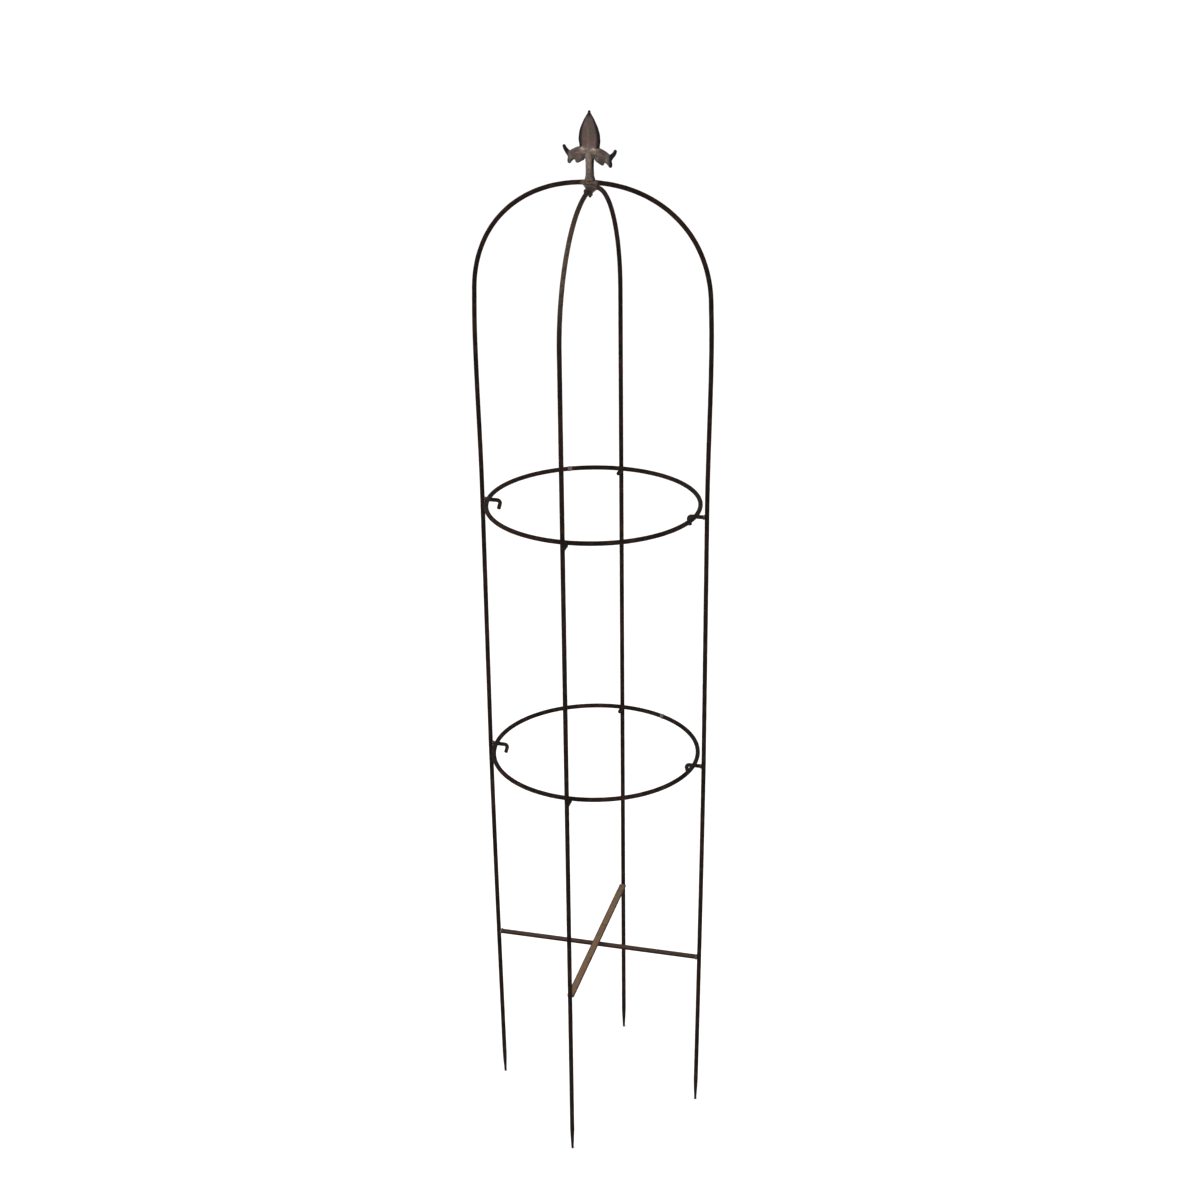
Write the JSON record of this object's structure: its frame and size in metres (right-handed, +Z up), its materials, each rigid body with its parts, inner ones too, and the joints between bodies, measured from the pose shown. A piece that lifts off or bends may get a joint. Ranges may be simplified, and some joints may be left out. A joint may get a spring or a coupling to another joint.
{
  "type": "garden obelisk",
  "caption": "Tall garden plant support: crossed bent-rod arches with pointed legs, flat cross braces, loose round hoops on hooks and pegs, and a cast spearhead-and-leaf finial.",
  "frame": {"origin": "on the floor at the centre of the four leg tips, under the pivot", "axes": "+Z up along the pivot axis; the outer arch stands in the XZ plane and the inner arch in the YZ plane; -Y is the front"},
  "size_m": [0.4148, 0.408, 1.8758],
  "materials": {
    "rod_steel": "dark brown rusted round bar, matt",
    "bar_steel": "lighter brown rusted flat bar, matt",
    "hoop_steel": "dark brown rusted round bar, matt",
    "hook_steel": "dark rusted round bar, matt",
    "finial_iron": "grey-brown rusted casting, matt",
    "fastener_steel": "dull dark fastener"
  },
  "bodies": {
    "outer_arch": {"outer_arch_rod": "rod_steel", "outer_arch_brace": "bar_steel", "hook_upper_right": "hook_steel", "hook_upper_left": "hook_steel", "hook_lower_right": "hook_steel", "hook_lower_left": "hook_steel", "pivot_spacer": "rod_steel"},
    "inner_arch": {"inner_arch_rod": "rod_steel", "inner_arch_brace": "bar_steel", "peg_upper_back": "hook_steel", "peg_upper_front": "hook_steel", "peg_lower_back": "hook_steel", "peg_lower_front": "hook_steel"},
    "upper_hoop": {"hoop_upper": "hoop_steel"},
    "lower_hoop": {"hoop_lower": "hoop_steel"},
    "finial": {"finial_casting": "finial_iron", "finial_stud": "fastener_steel"},
    "nut": {"pivot_nut": "fastener_steel", "pivot_washer": "fastener_steel"}
  },
  "joints": [
    {"name": "inner_arch_fold", "type": "hinge", "parent": "outer_arch", "child": "inner_arch", "pos_m": [0, 0, 1.7474], "axis": [0, 0, 1], "range_deg": [-86.5, 86.5]},
    {"name": "upper_hoop_lift", "type": "slide", "parent": "outer_arch", "child": "upper_hoop", "axis": [0, 0, 1], "range_m": [0, 0.383]},
    {"name": "lower_hoop_lift", "type": "slide", "parent": "outer_arch", "child": "lower_hoop", "axis": [0, 0, 1], "range_m": [0, 0.46]},
    {"name": "finial_turn", "type": "hinge", "parent": "outer_arch", "child": "finial", "pos_m": [0, 0, 1.7638], "axis": [0, 0, 1], "continuous": true},
    {"name": "nut_turn", "type": "hinge", "parent": "finial", "child": "nut", "pos_m": [0, 0, 1.7403], "axis": [0, 0, 1], "continuous": true}
  ]
}
